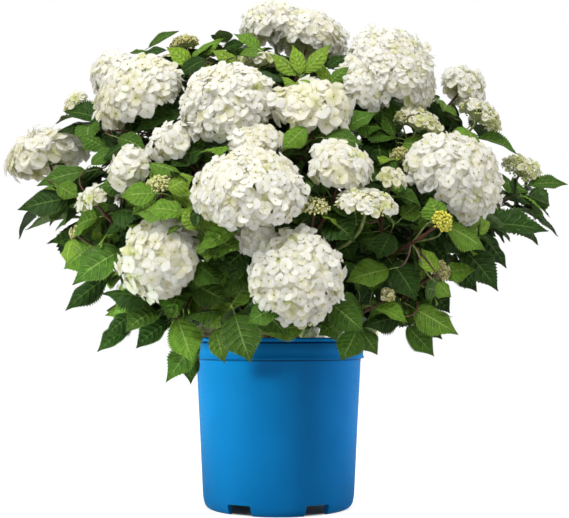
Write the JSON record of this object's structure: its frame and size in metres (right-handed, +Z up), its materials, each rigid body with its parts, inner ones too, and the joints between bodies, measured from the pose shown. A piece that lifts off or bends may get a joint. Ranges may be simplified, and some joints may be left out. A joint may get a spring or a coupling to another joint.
{
  "type": "hydrangea shrub in a nursery pot",
  "caption": "Rounded leafy shrub with white mophead flower heads, standing in a tapered round plastic nursery pot filled with potting mix.",
  "frame": {"origin": "on the ground at the pot's axis, which lies within 5 mm of the middle of the whole box", "axes": "+Z up, -Y the pictured front, +X to the viewer's right"},
  "size_m": [0.7837, 0.6284, 0.7197],
  "materials": {
    "pot": "satin blue moulded plastic",
    "mix": "loose dark bark and peat",
    "bark": "reddish brown bark",
    "foliage": "green leaves with white flower heads"
  },
  "bodies": {
    "root": {"pot": "pot", "potting_mix": "mix", "woody_crown": "bark", "cane_top": "bark", "cane_upper_right": "bark", "cane_right": "bark", "cane_centre": "bark", "cane_low_centre": "bark", "cane_low_left": "bark", "cane_upper_centre": "bark", "cane_upper_left": "bark", "cane_left": "bark", "cane_far_right": "bark", "cane_low_right": "bark", "cane_back_low_right": "bark", "cane_back_low_mid_right": "bark", "cane_back_low_mid_left": "bark", "cane_back_low_left": "bark", "cane_back_right": "bark", "cane_back_centre": "bark", "cane_back_left": "bark", "cane_back_top": "bark", "foliage_top": "foliage", "foliage_upper_right": "foliage", "foliage_right": "foliage", "foliage_centre": "foliage", "foliage_low_centre": "foliage", "foliage_low_left": "foliage", "foliage_upper_centre": "foliage", "foliage_upper_left": "foliage", "foliage_left": "foliage", "foliage_far_right": "foliage", "foliage_low_right": "foliage", "foliage_back_low_right": "foliage", "foliage_back_low_mid_right": "foliage", "foliage_back_low_mid_left": "foliage", "foliage_back_low_left": "foliage", "foliage_back_right": "foliage", "foliage_back_centre": "foliage", "foliage_back_left": "foliage", "foliage_back_top": "foliage"}
  },
  "joints": []
}
